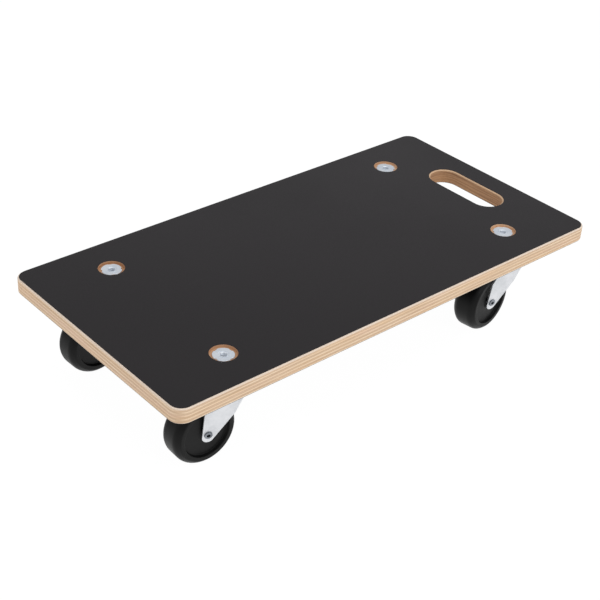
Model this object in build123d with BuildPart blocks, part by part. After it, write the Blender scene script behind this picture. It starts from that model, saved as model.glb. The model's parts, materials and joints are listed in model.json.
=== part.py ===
"""Furniture dolly: a plywood deck with a hand slot on four swivel castors.

Millimetres. The origin is on the ground under the middle of the deck, +X points to the end with
the hand slot, +Y to the left and +Z up. Each castor is drawn once in its own frame, with its
swivel axis on Z and its wheel trailing towards -X, and is then turned and copied to its corner.
"""

import os
from math import hypot

from build123d import *

os.makedirs("parts", exist_ok=True)

# ---------------------------------------------------------------- driving dimensions

DECK_LENGTH = 600.0
DECK_WIDTH = 300.0
DECK_THICKNESS = 18.0
DECK_CORNER_RADIUS = 15.0
TOP_EDGE_ROUNDING = 1.8
UNDER_EDGE_ROUNDING = 0.5
FILM_THICKNESS = 0.5
TOP_FILM_INSET = 1.75
UNDER_FILM_INSET = 0.45

OVERALL_HEIGHT = 118.0
DECK_UNDERSIDE = OVERALL_HEIGHT - DECK_THICKNESS

SLOT_LENGTH = 107.0
SLOT_WIDTH = 38.5
SLOT_FROM_END = 50.8

CASTOR_SPACING_X = 414.0
CASTOR_SPACING_Y = 198.0
# Which way each castor trails, in degrees about its swivel axis; 0 trails towards -X.
CASTOR_YAW = {
    "rear_right": -2.3,
    "front_right": 7.8,
    "rear_left": 2.2,
    "front_left": 3.0,
}

RECESS_RADIUS = 14.8
RECESS_DEPTH = 3.5
BARREL_HOLE_RADIUS = 5.2

TEE_FLANGE_RADIUS = 11.5
TEE_FLANGE_THICKNESS = 1.5
TEE_BARREL_RADIUS = 5.0
TEE_BARREL_LENGTH = 9.5
TEE_RIM_ROUNDING = 0.35
TEE_GROOVE_WIDTH = 1.0
TEE_GROOVE_DEPTH = 0.5
TEE_FUNNEL = 0.6
TEE_NOTCH_DEPTH = 1.0
TEE_NOTCH_MARGIN = 0.4
TEE_PRONG_LENGTH = 7.0
TEE_PRONG_SHANK = 2.0
TEE_PRONG_ROOT = 0.5
TEE_PRONG_WIDTH = 3.4
TEE_PRONG_THICKNESS = 1.2
# How far each tee nut was turned when it was driven in, in degrees.
TEE_TURN = {
    "rear_right": 10.0,
    "front_right": 52.0,
    "rear_left": 66.0,
    "front_left": 31.0,
}

BOLT_LENGTH = 30.0
BOLT_RADIUS = 3.95
BOLT_THREAD_RADIUS = 3.55
BOLT_THREAD_RUNOUT = 1.0
BOLT_TIP_CHAMFER = 0.8
BOLT_HEAD_ACROSS_FLATS = 13.0
BOLT_HEAD_HEIGHT = 5.3
WASHER_RADIUS = 7.4
WASHER_BORE_RADIUS = 4.15
WASHER_THICKNESS = 2.0
WASHER_SLIT_WIDTH = 0.8
WASHER_SLIT_LENGTH = 6.0
WASHER_SLIT_ANGLE = 20.0

WHEEL_RADIUS = 37.5
WHEEL_WIDTH = 30.0
WHEEL_BEVEL = 5.1
WHEEL_TREAD_ROUNDING = 9.0
WHEEL_SHOULDER_ROUNDING = 3.5
WHEEL_RIM_RADIUS = 28.0
WHEEL_DISH_RADIUS = 26.6
WHEEL_DISH_DEPTH = 3.3
WHEEL_HUB_RADIUS = 6.4
WHEEL_HUB_WIDTH = 24.0
SWIVEL_OFFSET = 28.5

FORK_THICKNESS = 1.8
FORK_HALF_WIDTH_AT_AXLE = 16.2
# How fast each leg leaves the middle plane, going forwards and going up.
FORK_SPLAY = 0.29
FORK_FLARE = 0.10
FORK_CROWN_RADIUS = 28.0
FORK_CROWN_THICKNESS = 2.5
FORK_CROWN_HOLE_RADIUS = 9.0
FORK_LIP_HEIGHT = 8.0
# The leg's outline: corner circles as (forward of the axle, above the axle, radius), and how far
# forward its top edge starts and ends.
FORK_FOOT = (0.0, -3.5, 6.3)
FORK_KNEE = (23.1, 25.1, 3.0)
FORK_HEEL = (-3.0, 27.0, 2.5)
FORK_SHOULDER = (8.0, 37.5)

RACE_THICKNESS = 2.5
RACE_RADIUS = 25.0
RACE_RIM_THICKNESS = 2.0
RACE_RIM_GAP = 1.0
RACE_ROUNDING = 1.5
UPPER_BALL_RADIUS = 2.38
UPPER_BALL_CIRCLE = 18.0
UPPER_BALL_COUNT = 20
LOWER_BALL_RADIUS = 2.0
LOWER_BALL_CIRCLE = 12.0
LOWER_BALL_COUNT = 14
GROOVE_DEPTH = 0.7
OWN_BALL_GAP = 0.1
OTHER_BALL_GAP = 0.3

KING_BUSH_RADIUS = 7.5
KING_BUSH_BORE_RADIUS = 4.3
KING_BUSH_FLANGE_RADIUS = 9.5
KING_BUSH_FLANGE_THICKNESS = 1.5
KING_BUSH_ROUNDING = 0.8
RETAINER_RADIUS = 16.5
RETAINER_THICKNESS = 2.0
RETAINER_RIM_THICKNESS = 1.5
RETAINER_RIM_GAP = 0.8
RETAINER_ROUNDING = 1.2

AXLE_RADIUS = 3.0
AXLE_HEAD_RADIUS = 4.4
AXLE_HEAD_HEIGHT = 1.5
AXLE_HEAD_ROUNDING = 0.9
AXLE_CUP_RADIUS = 2.0
AXLE_CUP_DEPTH = 3.0
SLEEVE_RADIUS = 5.0
RUNNING_GAP = 0.05

# ---------------------------------------------------------------- heights of the swivel head

RACE_UNDERSIDE = DECK_UNDERSIDE - RACE_THICKNESS
UPPER_BALL_HEIGHT = RACE_UNDERSIDE + GROOVE_DEPTH - OTHER_BALL_GAP - UPPER_BALL_RADIUS
CROWN_TOP = UPPER_BALL_HEIGHT - UPPER_BALL_RADIUS - OWN_BALL_GAP + GROOVE_DEPTH
CROWN_UNDERSIDE = CROWN_TOP - FORK_CROWN_THICKNESS
LOWER_BALL_HEIGHT = CROWN_UNDERSIDE + GROOVE_DEPTH - OWN_BALL_GAP - LOWER_BALL_RADIUS
RETAINER_TOP = LOWER_BALL_HEIGHT - LOWER_BALL_RADIUS - OTHER_BALL_GAP + GROOVE_DEPTH
RETAINER_UNDERSIDE = RETAINER_TOP - RETAINER_THICKNESS
KING_BUSH_UNDERSIDE = RETAINER_UNDERSIDE - KING_BUSH_FLANGE_THICKNESS
BOLT_HEAD_TOP = KING_BUSH_UNDERSIDE - WASHER_THICKNESS
RECESS_FLOOR = OVERALL_HEIGHT - RECESS_DEPTH

# ---------------------------------------------------------------- places

CASTOR_PLACE = {
    "rear_right": (-CASTOR_SPACING_X / 2, -CASTOR_SPACING_Y / 2),
    "front_right": (CASTOR_SPACING_X / 2, -CASTOR_SPACING_Y / 2),
    "rear_left": (-CASTOR_SPACING_X / 2, CASTOR_SPACING_Y / 2),
    "front_left": (CASTOR_SPACING_X / 2, CASTOR_SPACING_Y / 2),
}
SLOT_CENTRE = (DECK_LENGTH / 2 - SLOT_FROM_END, 0)


def write(shape, name):
    """Names a finished piece and writes it to its own file."""
    shape.label = name
    export_step(shape, f"parts/{name}.step")


def at_corner(shape, corner, turn):
    """Copies a piece from the castor's own frame to a corner of the deck."""
    x, y = CASTOR_PLACE[corner]
    return shape.moved(Location((x, y, 0), (0, 0, turn)))


# ---------------------------------------------------------------- deck

core_bottom = DECK_UNDERSIDE + FILM_THICKNESS
core_thickness = DECK_THICKNESS - 2 * FILM_THICKNESS

with BuildPart() as deck_board:
    with BuildSketch(Plane.XY.offset(core_bottom)):
        RectangleRounded(DECK_LENGTH, DECK_WIDTH, DECK_CORNER_RADIUS)
        with Locations(SLOT_CENTRE):
            SlotOverall(SLOT_LENGTH, SLOT_WIDTH, rotation=90, mode=Mode.SUBTRACT)
    extrude(amount=core_thickness)
    fillet(deck_board.edges().group_by(Axis.Z)[-1], TOP_EDGE_ROUNDING)
    fillet(deck_board.edges().group_by(Axis.Z)[0], UNDER_EDGE_ROUNDING)
    with BuildSketch(Plane.XY.offset(RECESS_FLOOR)):
        with Locations(*CASTOR_PLACE.values()):
            Circle(RECESS_RADIUS)
    extrude(amount=RECESS_DEPTH, mode=Mode.SUBTRACT)
    with BuildSketch(Plane.XY.offset(core_bottom)):
        with Locations(*CASTOR_PLACE.values()):
            Circle(BARREL_HOLE_RADIUS)
    extrude(amount=core_thickness, mode=Mode.SUBTRACT)
write(deck_board.part, "deck_board")


def film_sheet(height, inset, hole_radius):
    """One face film: it stops short of every rounded edge and is bored at the castors."""
    with BuildPart() as film:
        with BuildSketch(Plane.XY.offset(height)):
            RectangleRounded(
                DECK_LENGTH - 2 * inset,
                DECK_WIDTH - 2 * inset,
                DECK_CORNER_RADIUS - inset,
            )
            with Locations(SLOT_CENTRE):
                SlotOverall(
                    SLOT_LENGTH + 2 * inset,
                    SLOT_WIDTH + 2 * inset,
                    rotation=90,
                    mode=Mode.SUBTRACT,
                )
            with Locations(*CASTOR_PLACE.values()):
                Circle(hole_radius, mode=Mode.SUBTRACT)
        extrude(amount=FILM_THICKNESS)
    return film.part


top_film = film_sheet(OVERALL_HEIGHT - FILM_THICKNESS, TOP_FILM_INSET, RECESS_RADIUS)
bottom_film = film_sheet(DECK_UNDERSIDE, UNDER_FILM_INSET, BARREL_HOLE_RADIUS)
write(top_film, "deck_top_film")
write(bottom_film, "deck_bottom_film")

# ---------------------------------------------------------------- fasteners through the deck

tee_top = RECESS_FLOOR + TEE_FLANGE_THICKNESS
prong_circle = TEE_FLANGE_RADIUS - TEE_PRONG_THICKNESS
notch_width = TEE_PRONG_WIDTH + 2 * TEE_NOTCH_MARGIN
barrel_end = RECESS_FLOOR - TEE_BARREL_LENGTH
thread_start = barrel_end - BOLT_THREAD_RUNOUT

with BuildPart() as tee_nut:
    with BuildSketch(Plane.XY.offset(barrel_end)):
        Circle(TEE_BARREL_RADIUS)
    extrude(amount=TEE_BARREL_LENGTH)
    with BuildSketch(Plane.XY.offset(RECESS_FLOOR)):
        Circle(TEE_FLANGE_RADIUS)
        with PolarLocations(TEE_FLANGE_RADIUS, 4):
            Rectangle(2 * TEE_NOTCH_DEPTH, notch_width, mode=Mode.SUBTRACT)
    extrude(amount=TEE_FLANGE_THICKNESS)
    fillet(tee_nut.faces().sort_by(Axis.Z)[-1].edges(), TEE_RIM_ROUNDING)
    # A shallow ring groove and a funnel lead into the thread.
    with BuildSketch(Plane.XY.offset(tee_top)):
        Circle(TEE_BARREL_RADIUS + TEE_GROOVE_WIDTH)
        Circle(TEE_BARREL_RADIUS, mode=Mode.SUBTRACT)
    extrude(amount=-TEE_GROOVE_DEPTH, mode=Mode.SUBTRACT)
    with Locations((0, 0, tee_top)):
        Hole(BOLT_THREAD_RADIUS + RUNNING_GAP)
    mouth = tee_nut.edges().filter_by(GeomType.CIRCLE)
    mouth = mouth.filter_by(lambda e: abs(e.radius - BOLT_THREAD_RADIUS - RUNNING_GAP) < 0.01)
    chamfer(mouth.sort_by(Axis.Z)[-1], TEE_FUNNEL)
    # Four prongs, bent down out of the notches, bite into the wood.
    for turn in (0, 90, 180, 270):
        prong_face = Plane(
            origin=Vector(prong_circle, 0, RECESS_FLOOR).rotate(Axis.Z, turn),
            x_dir=Vector(0, 1, 0).rotate(Axis.Z, turn),
            z_dir=Vector(1, 0, 0).rotate(Axis.Z, turn),
        )
        with BuildSketch(prong_face):
            Polygon(
                (-TEE_PRONG_WIDTH / 2, TEE_PRONG_ROOT),
                (TEE_PRONG_WIDTH / 2, TEE_PRONG_ROOT),
                (TEE_PRONG_WIDTH / 2, -TEE_PRONG_SHANK),
                (0, -TEE_PRONG_LENGTH),
                (-TEE_PRONG_WIDTH / 2, -TEE_PRONG_SHANK),
                align=None,
            )
        extrude(amount=-TEE_PRONG_THICKNESS)

with BuildPart() as castor_bolt:
    with BuildSketch(Plane.XY.offset(BOLT_HEAD_TOP)):
        RegularPolygon(BOLT_HEAD_ACROSS_FLATS / 2, 6, major_radius=False)
    extrude(amount=-BOLT_HEAD_HEIGHT)
    with BuildSketch(Plane.XY.offset(BOLT_HEAD_TOP)):
        Circle(BOLT_RADIUS)
    extrude(amount=thread_start - BOLT_HEAD_TOP)
    with BuildSketch(Plane.XY.offset(thread_start)):
        Circle(BOLT_THREAD_RADIUS)
    extrude(amount=BOLT_HEAD_TOP + BOLT_LENGTH - thread_start)
    tip = castor_bolt.faces().sort_by(Axis.Z)[-1].edges()
    chamfer(tip, BOLT_TIP_CHAMFER)

with BuildPart() as spring_washer:
    with BuildSketch(Plane.XY.offset(BOLT_HEAD_TOP)):
        Circle(WASHER_RADIUS)
        Circle(WASHER_BORE_RADIUS, mode=Mode.SUBTRACT)
        with Locations(((WASHER_RADIUS + WASHER_BORE_RADIUS) / 2, 0)):
            Rectangle(
                WASHER_SLIT_LENGTH,
                WASHER_SLIT_WIDTH,
                rotation=WASHER_SLIT_ANGLE,
                mode=Mode.SUBTRACT,
            )
    extrude(amount=WASHER_THICKNESS)


def at_every_corner(shape, turns):
    """One group of identical pieces, a separate solid at each castor."""
    return Compound(children=[at_corner(shape, corner, turns[corner]) for corner in CASTOR_PLACE])


write(at_every_corner(tee_nut.part, TEE_TURN), "tee_nuts")
write(at_every_corner(castor_bolt.part, TEE_TURN), "castor_bolts")
write(at_every_corner(spring_washer.part, TEE_TURN), "spring_washers")

# ---------------------------------------------------------------- castor head, fixed to the deck

with BuildPart() as top_race:
    with BuildSketch(Plane.XY.offset(RACE_UNDERSIDE)):
        Circle(RACE_RADIUS)
        Circle(KING_BUSH_RADIUS, mode=Mode.SUBTRACT)
    extrude(amount=RACE_THICKNESS)
    # The rim is turned down round the balls to keep dirt out.
    with BuildSketch(Plane.XY.offset(RACE_UNDERSIDE)):
        Circle(RACE_RADIUS)
        Circle(RACE_RADIUS - RACE_RIM_THICKNESS, mode=Mode.SUBTRACT)
    extrude(amount=CROWN_TOP + RACE_RIM_GAP - RACE_UNDERSIDE)
    fillet(top_race.faces().sort_by(Axis.Z)[-1].outer_wire().edges(), RACE_ROUNDING)
    with BuildSketch(Plane.XZ):
        with Locations((UPPER_BALL_CIRCLE, UPPER_BALL_HEIGHT)):
            Circle(UPPER_BALL_RADIUS + OTHER_BALL_GAP)
    revolve(axis=Axis.Z, mode=Mode.SUBTRACT)

with BuildPart() as king_bush:
    with BuildSketch(Plane.XY.offset(KING_BUSH_UNDERSIDE)):
        Circle(KING_BUSH_RADIUS)
    extrude(amount=DECK_UNDERSIDE - KING_BUSH_UNDERSIDE)
    with BuildSketch(Plane.XY.offset(KING_BUSH_UNDERSIDE)):
        Circle(KING_BUSH_FLANGE_RADIUS)
    extrude(amount=KING_BUSH_FLANGE_THICKNESS)
    fillet(king_bush.faces().sort_by(Axis.Z)[0].edges(), KING_BUSH_ROUNDING)
    with Locations((0, 0, DECK_UNDERSIDE)):
        Hole(KING_BUSH_BORE_RADIUS)

with BuildPart() as retainer:
    with BuildSketch(Plane.XY.offset(RETAINER_UNDERSIDE)):
        Circle(RETAINER_RADIUS)
        Circle(KING_BUSH_RADIUS, mode=Mode.SUBTRACT)
    extrude(amount=RETAINER_THICKNESS)
    # The rim is turned up towards the fork.
    with BuildSketch(Plane.XY.offset(RETAINER_TOP)):
        Circle(RETAINER_RADIUS)
        Circle(RETAINER_RADIUS - RETAINER_RIM_THICKNESS, mode=Mode.SUBTRACT)
    extrude(amount=CROWN_UNDERSIDE - RETAINER_RIM_GAP - RETAINER_TOP)
    fillet(retainer.faces().sort_by(Axis.Z)[0].outer_wire().edges(), RETAINER_ROUNDING)
    with BuildSketch(Plane.XZ):
        with Locations((LOWER_BALL_CIRCLE, LOWER_BALL_HEIGHT)):
            Circle(LOWER_BALL_RADIUS + OTHER_BALL_GAP)
    revolve(axis=Axis.Z, mode=Mode.SUBTRACT)

# ---------------------------------------------------------------- fork

# The outer face of the right leg: its own x runs forwards along the leg, its own y runs up from
# the axle. The legs splay apart towards the front and towards the crown, past the wheel.
leg_face = Plane(
    origin=(-SWIVEL_OFFSET, -FORK_HALF_WIDTH_AT_AXLE, WHEEL_RADIUS),
    x_dir=(1, -FORK_SPLAY, 0),
    z_dir=(-FORK_SPLAY, -1, -FORK_FLARE),
)
leg_top = (CROWN_TOP + CROWN_UNDERSIDE) / 2 - WHEEL_RADIUS


def half_width(forward, up):
    """How far a leg's outer face is from the middle plane, at a place seen from the axle."""
    return FORK_HALF_WIDTH_AT_AXLE + FORK_SPLAY * forward + FORK_FLARE * up


def on_leg(forward, up):
    """The same place in the leg's own frame."""
    place = (forward - SWIVEL_OFFSET, -half_width(forward, up), up + WHEEL_RADIUS)
    local = leg_face.to_local_coords(Vector(*place))
    return (local.X, local.Y)


with BuildPart() as fork:
    # The crown reaches out from the races to the top edge of both legs.
    with BuildSketch(Plane.XY.offset(CROWN_UNDERSIDE)):
        Circle(FORK_CROWN_RADIUS)
        with BuildLine():
            for side in (-1, 1):
                Line(
                    *(
                        (forward - SWIVEL_OFFSET, side * half_width(forward, CROWN_TOP - WHEEL_RADIUS))
                        for forward in FORK_SHOULDER
                    )
                )
        make_hull()
    extrude(amount=FORK_CROWN_THICKNESS)
    # A short lip is turned down across the front of the crown.
    with BuildSketch(Plane.XY.offset(CROWN_UNDERSIDE)):
        Circle(FORK_CROWN_RADIUS)
        Circle(FORK_CROWN_RADIUS - FORK_THICKNESS, mode=Mode.SUBTRACT)
        with Locations((-FORK_CROWN_RADIUS, 0)):
            Rectangle(2 * FORK_CROWN_RADIUS, 2 * FORK_CROWN_RADIUS, mode=Mode.SUBTRACT)
    extrude(amount=-FORK_LIP_HEIGHT)
    with BuildSketch(leg_face):
        for forward, up, radius in (FORK_FOOT, FORK_KNEE, FORK_HEEL):
            with Locations(on_leg(forward, up)):
                Circle(radius)
        with BuildLine():
            Line(*(on_leg(forward, leg_top) for forward in FORK_SHOULDER))
        make_hull()
    extrude(amount=-FORK_THICKNESS)
    mirror(about=Plane.XZ)
    with BuildSketch(Plane.XY.offset(CROWN_UNDERSIDE)):
        Circle(FORK_CROWN_HOLE_RADIUS)
    extrude(amount=FORK_CROWN_THICKNESS, mode=Mode.SUBTRACT)
    for circle, height, radius in (
        (UPPER_BALL_CIRCLE, UPPER_BALL_HEIGHT, UPPER_BALL_RADIUS),
        (LOWER_BALL_CIRCLE, LOWER_BALL_HEIGHT, LOWER_BALL_RADIUS),
    ):
        with BuildSketch(Plane.XZ):
            with Locations((circle, height)):
                Circle(radius + OWN_BALL_GAP)
        revolve(axis=Axis.Z, mode=Mode.SUBTRACT)
    with BuildSketch(Plane.XZ):
        with Locations((-SWIVEL_OFFSET, WHEEL_RADIUS)):
            Circle(AXLE_RADIUS + RUNNING_GAP)
    extrude(amount=2 * FORK_CROWN_RADIUS, both=True, mode=Mode.SUBTRACT)


def ball_ring(circle, height, radius, count):
    """A full ring of separate balls."""
    with BuildPart() as ring:
        with Locations((0, 0, height)):
            with PolarLocations(circle, count):
                Sphere(radius)
    return ring.part


upper_balls = ball_ring(UPPER_BALL_CIRCLE, UPPER_BALL_HEIGHT, UPPER_BALL_RADIUS, UPPER_BALL_COUNT)
lower_balls = ball_ring(LOWER_BALL_CIRCLE, LOWER_BALL_HEIGHT, LOWER_BALL_RADIUS, LOWER_BALL_COUNT)

# ---------------------------------------------------------------- wheel and axle

# The axle runs along Y through this point; profiles are drawn in the XY plane at its height.
axle_height = Plane.XY.offset(WHEEL_RADIUS)
axle_line = Axis((-SWIVEL_OFFSET, 0, WHEEL_RADIUS), (0, 1, 0))
# The sleeve ends where its rim would touch the sloping inner faces of the legs.
leg_slope = hypot(FORK_SPLAY, FORK_FLARE)
leg_depth = FORK_THICKNESS * hypot(1, leg_slope)
sleeve_half = FORK_HALF_WIDTH_AT_AXLE - leg_depth - SLEEVE_RADIUS * leg_slope - RUNNING_GAP
dish_half = WHEEL_WIDTH / 2 - WHEEL_DISH_DEPTH


def across(radius, y):
    """A point of a profile, that far forward of the axle."""
    return (-SWIVEL_OFFSET + radius, y)


with BuildPart() as axle_sleeve:
    with BuildSketch(Plane.XZ):
        with Locations((-SWIVEL_OFFSET, WHEEL_RADIUS)):
            Circle(SLEEVE_RADIUS)
            Circle(AXLE_RADIUS + RUNNING_GAP, mode=Mode.SUBTRACT)
    extrude(amount=sleeve_half, both=True)

with BuildPart() as axle:
    with BuildSketch(Plane.XZ):
        with Locations((-SWIVEL_OFFSET, WHEEL_RADIUS)):
            Circle(AXLE_RADIUS)
    extrude(amount=FORK_HALF_WIDTH_AT_AXLE + 2 * AXLE_HEAD_HEIGHT)
    with BuildSketch(leg_face):
        Circle(AXLE_HEAD_RADIUS)
    extrude(amount=AXLE_HEAD_HEIGHT)
    # The end is cut off flush with the head, which lies flat on the leg.
    with BuildSketch(leg_face.offset(AXLE_HEAD_HEIGHT)):
        Circle(2 * AXLE_HEAD_RADIUS)
    extrude(amount=2 * AXLE_HEAD_HEIGHT, mode=Mode.SUBTRACT)
    fillet(axle.faces().sort_by(Axis.Y)[0].outer_wire().edges(), AXLE_HEAD_ROUNDING)
    with BuildSketch(leg_face.offset(AXLE_HEAD_HEIGHT)):
        Circle(AXLE_CUP_RADIUS)
    extrude(amount=-AXLE_CUP_DEPTH, mode=Mode.SUBTRACT)
    mirror(about=Plane.XZ)

with BuildPart() as wheel:
    with BuildSketch(axle_height) as half_profile:
        with BuildLine():
            Polyline(
                across(SLEEVE_RADIUS + RUNNING_GAP, 0),
                across(SLEEVE_RADIUS + RUNNING_GAP, WHEEL_HUB_WIDTH / 2),
                across(WHEEL_HUB_RADIUS, WHEEL_HUB_WIDTH / 2),
                across(WHEEL_HUB_RADIUS, dish_half),
                across(WHEEL_DISH_RADIUS, dish_half),
                across(WHEEL_RIM_RADIUS, WHEEL_WIDTH / 2),
                across(WHEEL_RADIUS - WHEEL_BEVEL, WHEEL_WIDTH / 2),
                across(WHEEL_RADIUS, WHEEL_WIDTH / 2 - WHEEL_BEVEL),
                across(WHEEL_RADIUS, 0),
                close=True,
            )
        make_face()
        outermost = half_profile.vertices().sort_by(Axis.Y)[-2:].sort_by(Axis.X)
        fillet(outermost[-1], WHEEL_SHOULDER_ROUNDING)
        tread_corner = half_profile.vertices().group_by(Axis.X)[-1].sort_by(Axis.Y)[-1]
        fillet(tread_corner, WHEEL_TREAD_ROUNDING)
        mirror(about=Plane.XZ)
    revolve(axis=axle_line)

# ---------------------------------------------------------------- the four castors

CASTOR_PIECES = {
    "top_race": top_race.part,
    "king_bush": king_bush.part,
    "retainer": retainer.part,
    "fork": fork.part,
    "upper_balls": upper_balls,
    "lower_balls": lower_balls,
    "axle": axle.part,
    "axle_sleeve": axle_sleeve.part,
    "wheel": wheel.part,
}

for corner in CASTOR_PLACE:
    for piece, shape in CASTOR_PIECES.items():
        write(at_corner(shape, corner, CASTOR_YAW[corner]), f"{corner}_{piece}")
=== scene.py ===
"""Furniture dolly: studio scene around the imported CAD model. Metres, in the CAD row frame."""

import json
import math

import bmesh
import bpy
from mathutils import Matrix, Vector


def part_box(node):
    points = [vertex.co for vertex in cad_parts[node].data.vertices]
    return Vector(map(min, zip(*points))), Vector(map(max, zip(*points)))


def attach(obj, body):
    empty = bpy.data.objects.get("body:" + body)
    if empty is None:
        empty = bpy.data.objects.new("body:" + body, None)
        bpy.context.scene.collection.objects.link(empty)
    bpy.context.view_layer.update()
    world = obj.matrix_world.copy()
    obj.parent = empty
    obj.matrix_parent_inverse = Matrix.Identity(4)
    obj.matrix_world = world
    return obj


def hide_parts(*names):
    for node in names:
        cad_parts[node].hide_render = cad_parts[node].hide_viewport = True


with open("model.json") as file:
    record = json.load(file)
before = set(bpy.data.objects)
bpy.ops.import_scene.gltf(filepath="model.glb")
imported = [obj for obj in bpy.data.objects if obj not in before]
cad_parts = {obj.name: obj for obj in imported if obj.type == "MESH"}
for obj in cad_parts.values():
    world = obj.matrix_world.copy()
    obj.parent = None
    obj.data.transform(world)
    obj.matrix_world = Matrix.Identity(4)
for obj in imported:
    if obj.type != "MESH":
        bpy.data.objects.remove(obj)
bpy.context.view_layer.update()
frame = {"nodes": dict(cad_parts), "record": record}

MM = 0.001
CORNERS = ("rear_right", "front_right", "rear_left", "front_left")

deck_low, deck_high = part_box("deck_board")
behaviour = frame["record"]["behaviour"]
NODE_SLOT = {part["node"]: part["material_slot"] for part in frame["record"]["subparts"]}
NODE_BODY = {node: body for body, nodes in behaviour["bodies"].items() for node in nodes}
JOINT = {joint["name"]: joint for joint in behaviour["joints"]}
MOUNT = {mount["name"]: mount for mount in frame["record"]["mounts"]}

# ---------------------------------------------------------------- material helpers


class Shader:
    """A material's node tree, with short calls for the nodes that the materials here share."""

    def __init__(self, name):
        self.material = bpy.data.materials.new(name)
        self.material.use_nodes = True
        self.tree = self.material.node_tree
        self.tree.nodes.clear()
        self.output = self.node("ShaderNodeOutputMaterial")
        self.bsdf = self.node("ShaderNodeBsdfPrincipled")
        self.link(self.bsdf.outputs["BSDF"], self.output.inputs["Surface"])

    def node(self, kind, **settings):
        made = self.tree.nodes.new(kind)
        for key, value in settings.items():
            setattr(made, key, value)
        return made

    def link(self, source, target):
        self.tree.links.new(source, target)

    def feed(self, socket, value):
        """Sets a socket to a number or colour, or links it to another node's output."""
        if isinstance(value, bpy.types.NodeSocket):
            self.link(value, socket)
        else:
            socket.default_value = value

    def place(self, scale=(1, 1, 1)):
        """The point on the piece in the row frame at rest, stretched by scale."""
        coords = self.node("ShaderNodeTexCoord")
        mapping = self.node("ShaderNodeMapping")
        mapping.inputs["Scale"].default_value = scale
        self.link(coords.outputs["Object"], mapping.inputs["Vector"])
        return mapping.outputs["Vector"]

    def split(self, vector):
        parts = self.node("ShaderNodeSeparateXYZ")
        self.link(vector, parts.inputs[0])
        return parts.outputs["X"], parts.outputs["Y"], parts.outputs["Z"]

    def math(self, operation, *values):
        made = self.node("ShaderNodeMath", operation=operation)
        for socket, value in zip(made.inputs, values):
            self.feed(socket, value)
        return made.outputs[0]

    def ramp(self, value, low, high, to_low=0.0, to_high=1.0, smooth=True):
        """Maps value from low..high to to_low..to_high, held at both ends."""
        kind = "SMOOTHSTEP" if smooth else "LINEAR"
        made = self.node("ShaderNodeMapRange", interpolation_type=kind)
        for key, number in (
            ("Value", value),
            ("From Min", low),
            ("From Max", high),
            ("To Min", to_low),
            ("To Max", to_high),
        ):
            self.feed(made.inputs[key], number)
        return made.outputs[0]

    def noise(self, scale, detail=3.0, stretch=(1, 1, 1), roughness=0.5, distortion=0.0):
        made = self.node("ShaderNodeTexNoise")
        self.link(self.place(stretch), made.inputs["Vector"])
        made.inputs["Scale"].default_value = scale
        made.inputs["Detail"].default_value = detail
        made.inputs["Roughness"].default_value = roughness
        made.inputs["Distortion"].default_value = distortion
        return made.outputs["Fac"]

    def cells(self, scale, stretch=(1, 1, 1)):
        """The distance to the nearest of a cloud of scattered points."""
        made = self.node("ShaderNodeTexVoronoi", feature="F1")
        self.link(self.place(stretch), made.inputs["Vector"])
        made.inputs["Scale"].default_value = scale
        return made.outputs["Distance"]

    def mix(self, share, first, second):
        """Two colours blended: the first where share is 0, the second where it is 1."""
        made = self.node("ShaderNodeMix", data_type="RGBA", blend_type="MIX")
        self.feed(made.inputs["Factor"], share)
        self.feed(made.inputs["A"], first)
        self.feed(made.inputs["B"], second)
        return made.outputs["Result"]

    def bump(self, height, depth, strength):
        """A bump of that depth in metres."""
        made = self.node("ShaderNodeBump")
        made.inputs["Strength"].default_value = strength
        made.inputs["Distance"].default_value = depth
        self.feed(made.inputs["Height"], height)
        return made.outputs["Normal"]

    def surface(self, **values):
        """Feeds the named inputs of the Principled shader."""
        for key, value in values.items():
            self.feed(self.bsdf.inputs[key.replace("_", " ")], value)
        return self.material


def tint(red, green, blue):
    """An sRGB colour, 0 to 255, as the linear colour that a shader takes."""

    def linear(value):
        value /= 255
        return value / 12.92 if value <= 0.04045 else ((value + 0.055) / 1.055) ** 2.4

    return (linear(red), linear(green), linear(blue), 1.0)


# ---------------------------------------------------------------- plywood

PLY = 2.06 * MM
FIRST_GLUE_LINE = deck_high.z - 0.9 * MM
PLY_NUMBER_BASE = 21.0  # Odd, and large enough that no ply's number falls below zero.
GLUE_WANDER = 0.35 * MM
GLUE_SHARE = 0.08  # Half a glue line's width, as a share of a ply.
# Where the upper arris's painted highlight and the lower arris's painted grey shade start and
# where each is strongest, from its own face of the deck.
UPPER_ARRIS_HIGHLIGHT = (1.9 * MM, 0.6 * MM)
LOWER_ARRIS_SHADE = (1.1 * MM, 0.2 * MM)
# Half sizes of the slot's painted shade and radius of the counterbores' browner wood, a little
# larger than the holes.
SLOT_X = MOUNT["hand_slot"]["pos_m"][0]
SLOT_SHADE_REACH = (21.5 * MM, 55.5 * MM)
CASTOR_PLACE = [abs(along) for along in JOINT["rear_right_swivel_turn"]["pos_m"][:2]]
COUNTERBORE_REACH = 15.2 * MM
WOOD_RELIEF = 0.12 * MM


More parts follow.
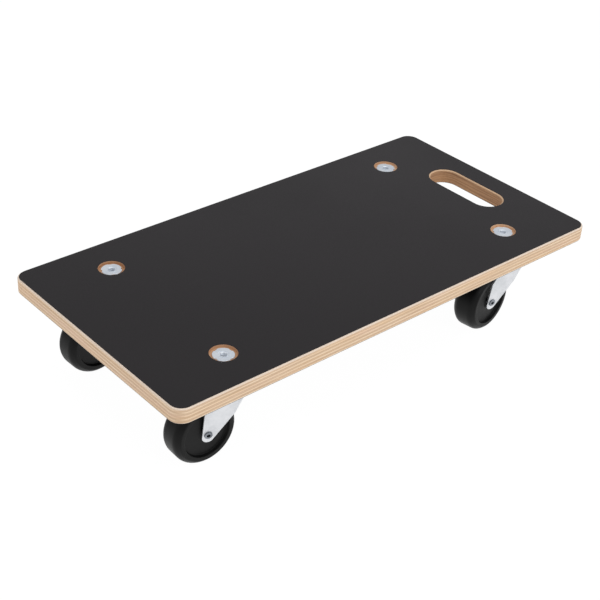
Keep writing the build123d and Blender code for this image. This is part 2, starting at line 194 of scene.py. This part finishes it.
def plywood():
    """Poplar plywood: plies laid crosswise in turn, so side and end grain alternate on an edge."""
    s = Shader("plywood")
    x, y, z = s.split(s.place())
    facing_x, facing_y, _ = s.split(s.node("ShaderNodeNewGeometry").outputs["Normal"])
    wander = s.noise(7.0, detail=3.0)
    wander = s.ramp(wander, 0.3, 0.7, -GLUE_WANDER, GLUE_WANDER, smooth=False)
    depth = s.math("SUBTRACT", FIRST_GLUE_LINE, z)
    depth = s.math("ADD", depth, wander)
    count = s.math("DIVIDE", depth, PLY)
    inside = s.math("FRACT", count)
    # The plies numbered odd have their grain across the deck, and end grain on its long sides.
    crosswise = s.math("MODULO", s.math("ADD", s.math("FLOOR", count), PLY_NUMBER_BASE), 2.0)
    end_long = s.math("ABSOLUTE", facing_x)
    end_cross = s.math("ABSOLUTE", facing_y)
    mixed = s.node("ShaderNodeMix", data_type="FLOAT")
    s.feed(mixed.inputs["Factor"], crosswise)
    s.feed(mixed.inputs["A"], end_long)
    s.feed(mixed.inputs["B"], end_cross)
    end_grain = s.ramp(mixed.outputs["Result"], 0.25, 0.85)

    streaks = s.noise(1.0, detail=6.0, stretch=(16, 16, 1100), roughness=0.65)
    patches = s.noise(11.0, detail=3.0, stretch=(1, 1, 22))
    blush = s.noise(7.0, detail=2.0, stretch=(1, 1, 9), distortion=0.6)
    side = s.mix(s.ramp(streaks, 0.3, 0.7), tint(226, 194, 160), tint(246, 222, 193))
    end = s.mix(s.ramp(streaks, 0.35, 0.65), tint(198, 164, 130), tint(223, 192, 160))
    wood = s.mix(s.math("MULTIPLY", end_grain, 0.85), side, end)
    wood = s.mix(s.ramp(patches, 0.45, 0.75, 0.0, 0.5), wood, tint(236, 198, 154))
    wood = s.mix(s.ramp(blush, 0.5, 0.75, 0.0, 0.4), wood, tint(238, 200, 180))
    pores = s.cells(900.0, stretch=(1, 1, 2.2))
    pores = s.math("MULTIPLY", s.ramp(pores, 0.28, 0.12), s.ramp(end_grain, 0, 1, 0.1, 0.5))
    wood = s.mix(pores, wood, tint(168, 128, 94))
    glue = s.math("MINIMUM", inside, s.math("SUBTRACT", 1.0, inside))
    glue = s.ramp(glue, GLUE_SHARE, 0.0, 0.0, 0.75)
    wood = s.mix(glue, wood, tint(170, 128, 92))
    # Painted highlight on the rounded upper arris, where it catches the light from above, and
    # painted shade that turns the lower arris greyish.
    upper_highlight = s.ramp(s.math("SUBTRACT", deck_high.z, z), *UPPER_ARRIS_HIGHLIGHT, 0.0, 0.75)
    wood = s.mix(upper_highlight, wood, tint(247, 230, 214))
    lower_shade = s.ramp(s.math("SUBTRACT", z, deck_low.z), *LOWER_ARRIS_SHADE, 0.0, 0.6)
    wood = s.mix(lower_shade, wood, tint(222, 212, 200))
    # Painted shade makes the slot's walls darker and browner, with the painted highlight along
    # their upper edge; the counterbores are browner, darker in patches.
    across = s.math("SUBTRACT", s.math("ABSOLUTE", s.math("SUBTRACT", x, SLOT_X)), SLOT_SHADE_REACH[0])
    along = s.math("SUBTRACT", s.math("ABSOLUTE", y), SLOT_SHADE_REACH[1])
    slot = s.math("LESS_THAN", s.math("MAXIMUM", across, along), 0.0)
    across = s.math("SUBTRACT", s.math("ABSOLUTE", x), CASTOR_PLACE[0])
    along = s.math("SUBTRACT", s.math("ABSOLUTE", y), CASTOR_PLACE[1])
    reach = s.math("SQRT", s.math("ADD", *(s.math("MULTIPLY", d, d) for d in (across, along))))
    bored = s.math("LESS_THAN", reach, COUNTERBORE_REACH)
    # Painted shade on the slot's walls, and the painted highlight along their upper edge.
    slot_shade = s.mix(s.ramp(streaks, 0.35, 0.6), tint(126, 82, 48), tint(178, 130, 86))
    slot_shade = s.mix(upper_highlight, slot_shade, tint(232, 190, 146))
    wood = s.mix(s.math("MULTIPLY", slot, 0.8), wood, slot_shade)
    drilled = s.mix(s.ramp(blush, 0.35, 0.65), tint(186, 132, 88), tint(236, 200, 164))
    wood = s.mix(s.math("MULTIPLY", bored, 0.8), wood, drilled)
    height = s.math("SUBTRACT", s.math("MULTIPLY", streaks, 0.5), s.math("ADD", glue, pores))
    normal = s.bump(height, WOOD_RELIEF, 0.5)
    rough = s.ramp(streaks, 0.2, 0.8, 0.62, 0.8)
    return s.surface(Base_Color=wood, Roughness=rough, Normal=normal, Specular_IOR_Level=0.35)


# ---------------------------------------------------------------- film

FILM_RELIEF = 0.03 * MM
LIT_END = 0.45  # x + y in metres where the film is palest, and darkest at minus that.


def film():
    """Dark phenolic film: matt, very finely grained, with faint clouds, light scuffs and a painted
    sheen that pales it towards the far end.
    """
    s = Shader("film")
    cloud = s.noise(6.0, detail=4.0)
    grain = s.noise(900.0, detail=2.0)
    scuffs = s.noise(3.0, detail=6.0, stretch=(2, 40, 1), roughness=0.7)
    x, y, _ = s.split(s.place())
    # Painted sheen: the film is painted paler towards the far end to stand for its brighter
    # grazing reflection there.
    painted_sheen = s.ramp(s.math("ADD", x, y), -LIT_END, LIT_END)
    colour = s.mix(painted_sheen, tint(42, 39, 40), tint(56, 53, 54))
    colour = s.mix(s.ramp(cloud, 0.3, 0.7, 0.0, 0.5), colour, tint(46, 43, 44))
    colour = s.mix(s.ramp(scuffs, 0.62, 0.8, 0.0, 0.1), colour, tint(74, 72, 72))
    rough = s.ramp(grain, 0.3, 0.7, 0.42, 0.54)
    normal = s.bump(grain, FILM_RELIEF, 0.6)
    return s.surface(Base_Color=colour, Roughness=rough, Normal=normal, Specular_IOR_Level=0.18)


# ---------------------------------------------------------------- metals and plastic

FINE_RELIEF = 0.02 * MM


def steel(name, pale, dull, roughness, relief=0.5, metal=1.0):
    """Plated or bare steel with a faint mottled sheen and fine drawing marks."""
    s = Shader(name)
    cloud = s.noise(60.0, detail=4.0)
    marks = s.noise(1.0, detail=4.0, stretch=(260, 260, 2600), roughness=0.6)
    colour = s.mix(s.ramp(cloud, 0.3, 0.7), pale, dull)
    colour = s.mix(s.ramp(marks, 0.55, 0.8, 0.0, 0.2), colour, dull)
    rough = s.ramp(cloud, 0.25, 0.75, roughness, roughness + 0.14)
    normal = s.bump(marks, FINE_RELIEF, relief)
    return s.surface(Base_Color=colour, Metallic=metal, Roughness=rough, Normal=normal)


def wheel_plastic():
    """Black moulded plastic with a soft satin gloss and a little dust."""
    s = Shader("wheel_plastic")
    grain = s.noise(1400.0, detail=2.0)
    dust = s.noise(45.0, detail=5.0, roughness=0.65)
    colour = s.mix(s.ramp(dust, 0.45, 0.8, 0.0, 0.5), tint(10, 10, 10), tint(24, 23, 23))
    rough = s.ramp(dust, 0.3, 0.7, 0.36, 0.5)
    normal = s.bump(grain, FINE_RELIEF, 0.5)
    return s.surface(Base_Color=colour, Roughness=rough, Normal=normal, Specular_IOR_Level=0.17)


# Each steel's pale and dull colour, its lowest roughness and what differs from the usual.
STEELS = {
    "zinc": (tint(246, 250, 255), tint(226, 234, 244), 0.3, {"metal": 0.5}),
    "zinc_bolt": (tint(214, 216, 220), tint(178, 182, 188), 0.34, {}),
    "zinc_pressed": (tint(228, 229, 232), tint(216, 218, 221), 0.42, {"metal": 0.85}),
    "ball_steel": (tint(205, 206, 208), tint(190, 191, 194), 0.14, {"relief": 0.1}),
    "axle_steel": (tint(150, 154, 160), tint(112, 116, 122), 0.4, {}),
}

MATERIALS = {"plywood": plywood(), "film": film()}
for name, (pale, dull, roughness, differs) in STEELS.items():
    MATERIALS[name] = steel(name, pale, dull, roughness, **differs)
MATERIALS["wheel_plastic"] = wheel_plastic()

for name, node in frame["nodes"].items():
    node.data.materials.clear()
    node.data.materials.append(MATERIALS[NODE_SLOT[name]])

# ---------------------------------------------------------------- finer pieces

WELD = 0.002 * MM
FLAT_ANGLE = math.radians(0.4)
SHARP_ANGLE = math.radians(32)


def stand_in(mesh, node):
    """Shows a finer mesh, given in the row frame, in place of a CAD node."""
    piece = bpy.data.objects.new(f"{node}_fine", mesh)
    bpy.context.scene.collection.objects.link(piece)
    mesh.materials.append(MATERIALS[NODE_SLOT[node]])
    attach(piece, NODE_BODY[node])
    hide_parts(node)
    weigh = piece.modifiers.new("flat faces stay flat", "WEIGHTED_NORMAL")
    weigh.keep_sharp = True


def break_edges(node, width, steps=2):
    """Stands in for a CAD node with its own shape, its sharp edges rounded over."""
    source = frame["nodes"][node]
    work = bmesh.new()
    work.from_mesh(source.data)
    work.transform(source.matrix_world)
    bmesh.ops.remove_doubles(work, verts=work.verts, dist=WELD)
    bmesh.ops.dissolve_limit(work, angle_limit=FLAT_ANGLE, verts=work.verts, edges=work.edges)
    sharp = [
        edge for edge in work.edges if edge.is_manifold and edge.calc_face_angle() > SHARP_ANGLE
    ]
    bmesh.ops.bevel(
        work,
        geom=sharp,
        offset=width,
        segments=steps,
        profile=0.5,
        affect="EDGES",
        clamp_overlap=True,
    )
    mesh = bpy.data.meshes.new(f"{node}_fine")
    for face in work.faces:
        face.smooth = True
    work.to_mesh(mesh)
    work.free()
    mesh.set_sharp_from_angle(angle=SHARP_ANGLE)
    stand_in(mesh, node)


def rounded(points, steps=6):
    """A polyline of (x, y, corner radius) with an arc at each corner that has a radius."""
    path = []
    for index, (x, y, radius) in enumerate(points):
        here = Vector((x, y))
        if radius == 0:
            path.append(here)
            continue
        back = (Vector(points[index - 1][:2]) - here).normalized()
        ahead = (Vector(points[index + 1][:2]) - here).normalized()
        half = back.angle(ahead) / 2
        centre = here + (back + ahead).normalized() * radius / math.sin(half)
        first = here + back * radius / math.tan(half) - centre
        last = here + ahead * radius / math.tan(half) - centre
        for step in range(steps + 1):
            path.append(centre + first.slerp(last, step / steps) * radius)
    return path


def lathe(name, path, centre, axis, turns):
    """Revolves a closed path of (radius, place along the axis) round an axis through centre."""
    axis = Vector(axis).normalized()
    up = Vector((0, 0, 1))
    side = axis.cross(up)
    verts, faces = [], []
    for turn in range(turns):
        angle = 2 * math.pi * turn / turns
        spoke = side * math.cos(angle) + up * math.sin(angle)
        verts += [Vector(centre) + spoke * radius + axis * along for radius, along in path]
    count = len(path)
    for turn in range(turns):
        here, there = turn * count, (turn + 1) % turns * count
        for k in range(count):
            after = (k + 1) % count
            faces.append((here + k, here + after, there + after, there + k))
    mesh = bpy.data.meshes.new(name)
    mesh.from_pydata(verts, [], faces)
    for face in mesh.polygons:
        face.use_smooth = True
    mesh.set_sharp_from_angle(angle=WHEEL_SHARP_ANGLE)
    return mesh


# Half of the wheel's section in millimetres, from the bore out to the tread: radius, distance
# from the middle plane, and the rounding of the corner there.
WHEEL_SECTION = (
    (5.05, 12.0, 0.4),
    (6.4, 12.0, 0.5),
    (7.4, 11.7, 0.6),
    (26.2, 11.7, 0.9),
    (27.6, 15.0, 0.8),
    (32.4, 15.0, 3.2),
    (37.5, 9.9, 8.6),
)
WHEEL_TURNS = 160
WHEEL_SHARP_ANGLE = math.radians(50)


def wheel(corner):
    """Stands in for a castor's wheel, turned from the section and its mirror image."""
    near = [(radius * MM, along * MM, bend * MM) for radius, along, bend in WHEEL_SECTION]
    far = [(radius, -along, bend) for radius, along, bend in reversed(near)]
    ring = near + far
    # The ring's first and last corners are neighbours along the bore.
    closed = [(*ring[-1][:2], 0)] + ring + [(*ring[0][:2], 0)]
    path = rounded(closed)[1:-1]
    joint = JOINT[f"{corner}_wheel_roll"]
    mesh = lathe(f"{corner}_wheel_fine", path, joint["pos_m"], joint["axis"], WHEEL_TURNS)
    stand_in(mesh, f"{corner}_wheel")


FIXING_BREAK = 0.15 * MM
FORK_BREAK = 0.5 * MM
AXLE_BREAK = 0.12 * MM
RACE_BREAK = 0.2 * MM

for name in ("tee_nuts", "castor_bolts", "spring_washers"):
    break_edges(name, FIXING_BREAK)
for corner in CORNERS:
    wheel(corner)
    break_edges(f"{corner}_fork", FORK_BREAK, steps=3)
    break_edges(f"{corner}_axle", AXLE_BREAK)
    for name in ("top_race", "retainer", "king_bush", "axle_sleeve"):
        break_edges(f"{corner}_{name}", RACE_BREAK)

# ---------------------------------------------------------------- floor, light and camera

FLOOR_SIZE = 14.0
FLOOR_GAP = 0.2 * MM
FLOOR_COLOUR = (0.06, 0.06, 0.06, 1.0)
FLOOR_GLOW = 0.98
WHITE = (1.0, 1.0, 1.0, 1.0)


def floor():
    """White paper that glows almost fully white, so only the darkest shadows show on it."""
    mesh = bpy.data.meshes.new("floor")
    half = FLOOR_SIZE / 2
    corners = [(-half, -half), (half, -half), (half, half), (-half, half)]
    mesh.from_pydata([(x, y, -FLOOR_GAP) for x, y in corners], [], [(0, 1, 2, 3)])
    plane = bpy.data.objects.new("floor", mesh)
    bpy.context.scene.collection.objects.link(plane)
    s = Shader("floor_paper")
    s.surface(Base_Color=FLOOR_COLOUR, Roughness=0.9, Specular_IOR_Level=0.0)
    s.surface(Emission_Color=WHITE, Emission_Strength=FLOOR_GLOW)
    # Seen from below, the floor lets the underside show.
    clear = s.node("ShaderNodeBsdfTransparent")
    sides = s.node("ShaderNodeMixShader")
    s.link(s.node("ShaderNodeNewGeometry").outputs["Backfacing"], sides.inputs[0])
    s.link(s.bsdf.outputs["BSDF"], sides.inputs[1])
    s.link(clear.outputs["BSDF"], sides.inputs[2])
    s.link(sides.outputs["Shader"], s.output.inputs["Surface"])
    mesh.materials.append(s.material)


SKY_COLOUR = (0.9, 0.92, 0.95, 1.0)
SKY_STRENGTH = 0.5
LAMP_AIM = (0, 0, 0)
# Each lamp's place, the side of its square and its power in watts.
LAMPS = {
    "key": ((0.5, -2.8, 1.8), 2.2, 24),
    "top": ((0.0, -0.4, 3.4), 2.6, 30),
    "fill": ((-2.8, 0.2, 1.6), 2.0, 6),
}


def softbox(name, place, size, power):
    """A square area light that points at the middle of the floor."""
    light = bpy.data.lights.new(name, "AREA")
    light.shape = "SQUARE"
    light.size = size
    light.energy = power
    lamp = bpy.data.objects.new(name, light)
    lamp.location = place
    beam = Vector(LAMP_AIM) - Vector(place)
    lamp.rotation_euler = beam.to_track_quat("-Z", "Y").to_euler()
    bpy.context.scene.collection.objects.link(lamp)


def studio():
    """A dim even sky and the softboxes."""
    world = bpy.data.worlds.new("studio")
    bpy.context.scene.world = world
    world.use_nodes = True
    background = world.node_tree.nodes["Background"]
    background.inputs["Color"].default_value = SKY_COLOUR
    background.inputs["Strength"].default_value = SKY_STRENGTH
    for name, (place, size, power) in LAMPS.items():
        softbox(name, place, size, power)


# The photograph's viewpoint: place in metres, turn in degrees, lens and sensor in millimetres.
CAMERA_PLACE = (-0.8580, -0.9126, 0.8601)
CAMERA_TURN = (56.925, -2.448, -40.023)
CAMERA_LENS = 77.38
CAMERA_SENSOR = 36.0
CAMERA_SHIFT = (0.03267, 0.00045)
CAMERA_NEAR = 0.01


def camera():
    """A camera from which the dolly looks as it does in the photograph."""
    data = bpy.data.cameras.new("camera")
    data.lens = CAMERA_LENS
    data.sensor_width = CAMERA_SENSOR
    data.shift_x, data.shift_y = CAMERA_SHIFT
    data.clip_start = CAMERA_NEAR
    eye = bpy.data.objects.new("camera", data)
    eye.location = CAMERA_PLACE
    eye.rotation_euler = [math.radians(angle) for angle in CAMERA_TURN]
    bpy.context.scene.collection.objects.link(eye)
    bpy.context.scene.camera = eye


floor()
studio()
camera()
bpy.context.scene.view_settings.view_transform = "Standard"
